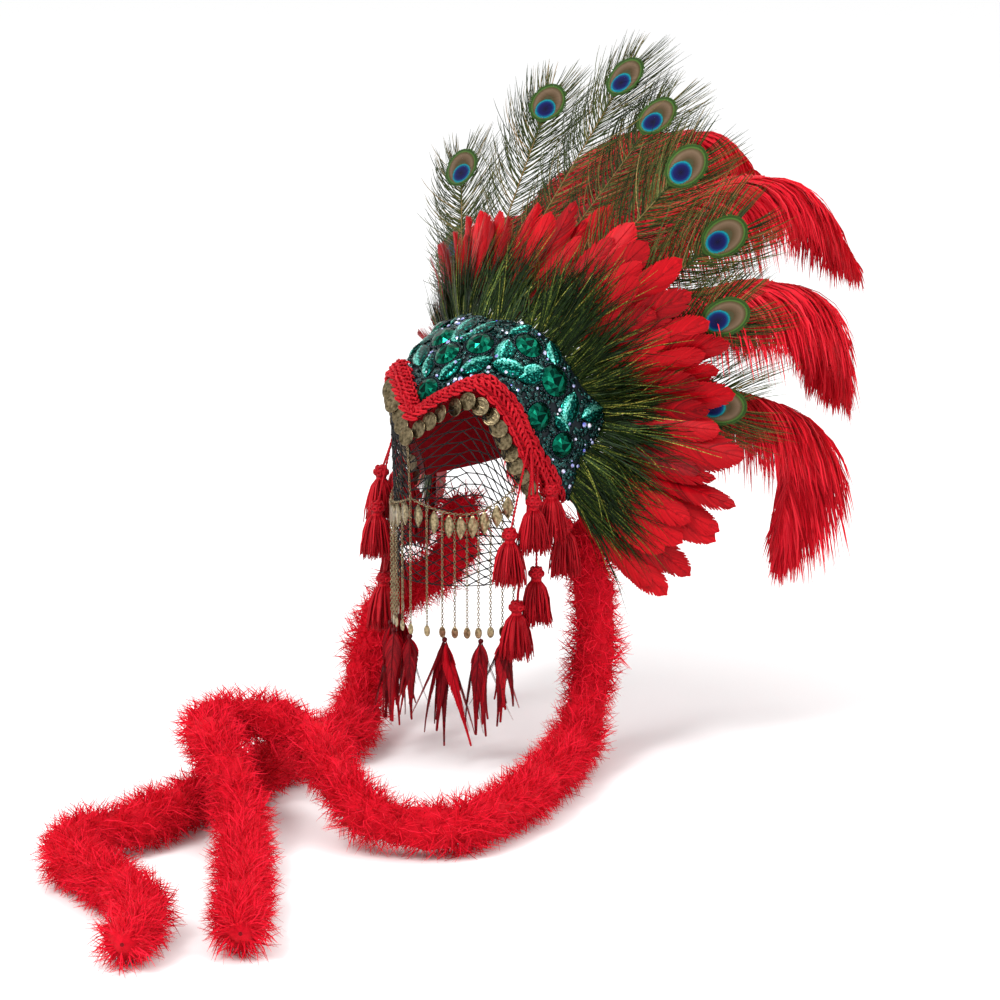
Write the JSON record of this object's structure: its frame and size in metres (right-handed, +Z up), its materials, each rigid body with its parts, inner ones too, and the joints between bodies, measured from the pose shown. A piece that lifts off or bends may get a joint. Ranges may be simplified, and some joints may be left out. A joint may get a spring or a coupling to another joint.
{
  "type": "feather headdress",
  "caption": "Carnival feather headdress with a sequinned band, a fan of herl, goose, peacock and ostrich feathers, a coin and net face veil, tassels and trailing boas",
  "frame": {"origin": "inner crown of the cap, where the top of the head seats", "axes": "+Z up, the wearer faces -Y, the wearer's left side is +X; the floor that the boas lie on is 0.426 m below the origin"},
  "size_m": [0.6822, 1.3143, 0.7261],
  "materials": {
    "felt": "matte red felt",
    "sequins": "overlapping teal sequins",
    "glass_stone": "clear faceted green stones with foiled backs",
    "thread": "red mercerised thread",
    "old_brass": "worn antique brass",
    "net": "black knotted net",
    "feather": "dyed red feather",
    "herl": "bronze green herl with a metallic sheen",
    "peacock": "iridescent peacock feather",
    "marabou": "loose red marabou down"
  },
  "bodies": {
    "root": {"boa_left": "marabou", "boa_right": "marabou", "cap": "felt", "chain_veil": "old_brass", "coin_row": "old_brass", "face_braid": "thread", "face_net": "net", "gem_centre_1": "glass_stone", "gem_centre_2": "glass_stone", "gem_left_1": "glass_stone", "gem_left_2": "glass_stone", "gem_left_3": "glass_stone", "gem_left_4": "glass_stone", "gem_left_5": "glass_stone", "gem_right_1": "glass_stone", "gem_right_2": "glass_stone", "gem_right_3": "glass_stone", "gem_right_4": "glass_stone", "gem_right_5": "glass_stone", "goose_front": "feather", "goose_rear": "feather", "hackle_tuft_1": "feather", "hackle_tuft_2": "feather", "hackle_tuft_3": "feather", "hackle_tuft_4": "feather", "hackle_tuft_5": "feather", "hackle_tuft_6": "feather", "hackle_tuft_7": "feather", "herl_fringe": "herl", "ostrich_centre": "feather", "ostrich_left_1": "feather", "ostrich_left_2": "feather", "ostrich_left_3": "feather", "ostrich_right_1": "feather", "ostrich_right_2": "feather", "ostrich_right_3": "feather", "peacock_left_1": "peacock", "peacock_left_2": "peacock", "peacock_left_3": "peacock", "peacock_left_4": "peacock", "peacock_left_5": "peacock", "peacock_right_1": "peacock", "peacock_right_2": "peacock", "peacock_right_3": "peacock", "peacock_right_4": "peacock", "peacock_right_5": "peacock", "sequin_band": "sequins", "tassel_left_1": "thread", "tassel_left_2": "thread", "tassel_left_3": "thread", "tassel_left_4": "thread", "tassel_left_5": "thread", "tassel_left_6": "thread", "tassel_right_1": "thread", "tassel_right_2": "thread", "tassel_right_3": "thread", "tassel_right_4": "thread", "tassel_right_5": "thread", "tassel_right_6": "thread"}
  },
  "joints": []
}
